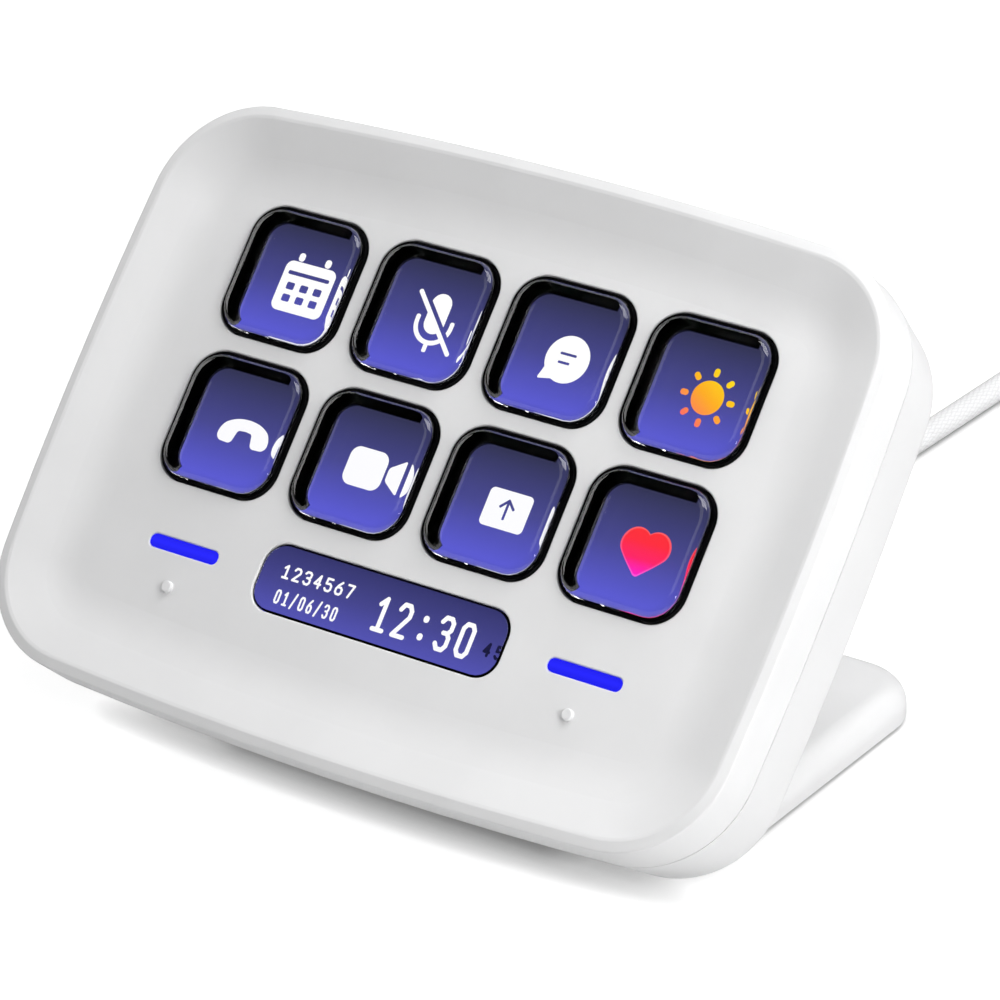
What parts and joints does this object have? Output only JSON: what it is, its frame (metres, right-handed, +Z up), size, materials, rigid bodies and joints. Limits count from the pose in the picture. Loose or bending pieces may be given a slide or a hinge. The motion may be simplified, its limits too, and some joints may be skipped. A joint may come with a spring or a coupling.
{
  "type": "display key pad",
  "caption": "Desktop key pad with clear display keys, an information bar and touch points in a dished, leaning housing on a fixed foot, with a captive cable.",
  "frame": {"origin": "centre of the rest face under the foot, midway between the front lip and the foot's rear edge", "axes": "-Y towards the user, +X to the user's right, +Z up; the face leans back 41 degrees from upright and looks towards -Y and up"},
  "size_m": [0.1111, 0.2032, 0.0714],
  "materials": {
    "white_shell": "fine matte moulded plastic",
    "clear_cap": "polished clear plastic",
    "black_skirt": "glossy black plastic",
    "dark_rubber": "matte rubber",
    "contact_film": "black printed film",
    "display_glass": "display glass over a lit picture",
    "lens_clear": "clear bar window",
    "light_guide": "white light guide stack",
    "steel": "plain sheet steel",
    "screw_steel": "blackened steel",
    "flex_film": "amber polyimide film",
    "black_plastic": "moulded black plastic",
    "diffuser": "milky light guide",
    "led_white": "moulded lamp chip",
    "contact_metal": "thin gilt metal",
    "board_green": "solder mask over glass fibre",
    "cable_braid": "light grey braid",
    "cable_jacket": "soft dark jacket",
    "relief_rubber": "soft light grey rubber",
    "tie_strap": "soft black strap",
    "plug_plastic": "smooth light plastic",
    "plug_steel": "nickelled steel"
  },
  "bodies": {
    "housing": {"front_cover": "white_shell", "rear_cover": "white_shell", "stand": "white_shell", "foot_pad": "dark_rubber", "contact_sheet": "contact_film", "lcd_panel": "display_glass", "lcd_backlight": "light_guide", "lcd_tray": "steel", "lcd_flex": "flex_film", "lcd_socket": "black_plastic", "infobar_lens": "lens_clear", "infobar_display": "display_glass", "infobar_holder": "black_plastic", "light_pipe_left": "diffuser", "light_pipe_right": "diffuser", "light_leds": "led_white", "touch_electrodes": "contact_metal", "touch_pins": "contact_metal", "main_board": "board_green", "board_standoffs": "black_plastic", "controller_chip": "black_plastic", "cable_socket": "black_plastic", "cable_lead": "cable_jacket", "strain_relief": "relief_rubber", "usb_cable": "cable_braid", "usb_cable_tail": "cable_braid", "usb_cable_coil": "cable_braid", "cable_tie": "tie_strap", "plug_body": "plug_plastic", "plug_shell": "plug_steel", "cover_screws": "screw_steel", "stand_screws": "screw_steel", "tray_screws": "screw_steel", "board_screws": "screw_steel"},
    "key_1": {"key_cap_1": "clear_cap", "key_skirt_1": "black_skirt", "key_pads_1": "dark_rubber"},
    "key_2": {"key_cap_2": "clear_cap", "key_skirt_2": "black_skirt", "key_pads_2": "dark_rubber"},
    "key_3": {"key_cap_3": "clear_cap", "key_skirt_3": "black_skirt", "key_pads_3": "dark_rubber"},
    "key_4": {"key_cap_4": "clear_cap", "key_skirt_4": "black_skirt", "key_pads_4": "dark_rubber"},
    "key_5": {"key_cap_5": "clear_cap", "key_skirt_5": "black_skirt", "key_pads_5": "dark_rubber"},
    "key_6": {"key_cap_6": "clear_cap", "key_skirt_6": "black_skirt", "key_pads_6": "dark_rubber"},
    "key_7": {"key_cap_7": "clear_cap", "key_skirt_7": "black_skirt", "key_pads_7": "dark_rubber"},
    "key_8": {"key_cap_8": "clear_cap", "key_skirt_8": "black_skirt", "key_pads_8": "dark_rubber"}
  },
  "joints": [
    {"name": "key_1_press", "type": "slide", "parent": "housing", "child": "key_1", "axis": [0, 0.7547, -0.6561], "range_m": [0, 0.001], "stiffness_N_per_m": 500},
    {"name": "key_2_press", "type": "slide", "parent": "housing", "child": "key_2", "axis": [0, 0.7547, -0.6561], "range_m": [0, 0.001], "stiffness_N_per_m": 500},
    {"name": "key_3_press", "type": "slide", "parent": "housing", "child": "key_3", "axis": [0, 0.7547, -0.6561], "range_m": [0, 0.001], "stiffness_N_per_m": 500},
    {"name": "key_4_press", "type": "slide", "parent": "housing", "child": "key_4", "axis": [0, 0.7547, -0.6561], "range_m": [0, 0.001], "stiffness_N_per_m": 500},
    {"name": "key_5_press", "type": "slide", "parent": "housing", "child": "key_5", "axis": [0, 0.7547, -0.6561], "range_m": [0, 0.001], "stiffness_N_per_m": 500},
    {"name": "key_6_press", "type": "slide", "parent": "housing", "child": "key_6", "axis": [0, 0.7547, -0.6561], "range_m": [0, 0.001], "stiffness_N_per_m": 500},
    {"name": "key_7_press", "type": "slide", "parent": "housing", "child": "key_7", "axis": [0, 0.7547, -0.6561], "range_m": [0, 0.001], "stiffness_N_per_m": 500},
    {"name": "key_8_press", "type": "slide", "parent": "housing", "child": "key_8", "axis": [0, 0.7547, -0.6561], "range_m": [0, 0.001], "stiffness_N_per_m": 500}
  ]
}
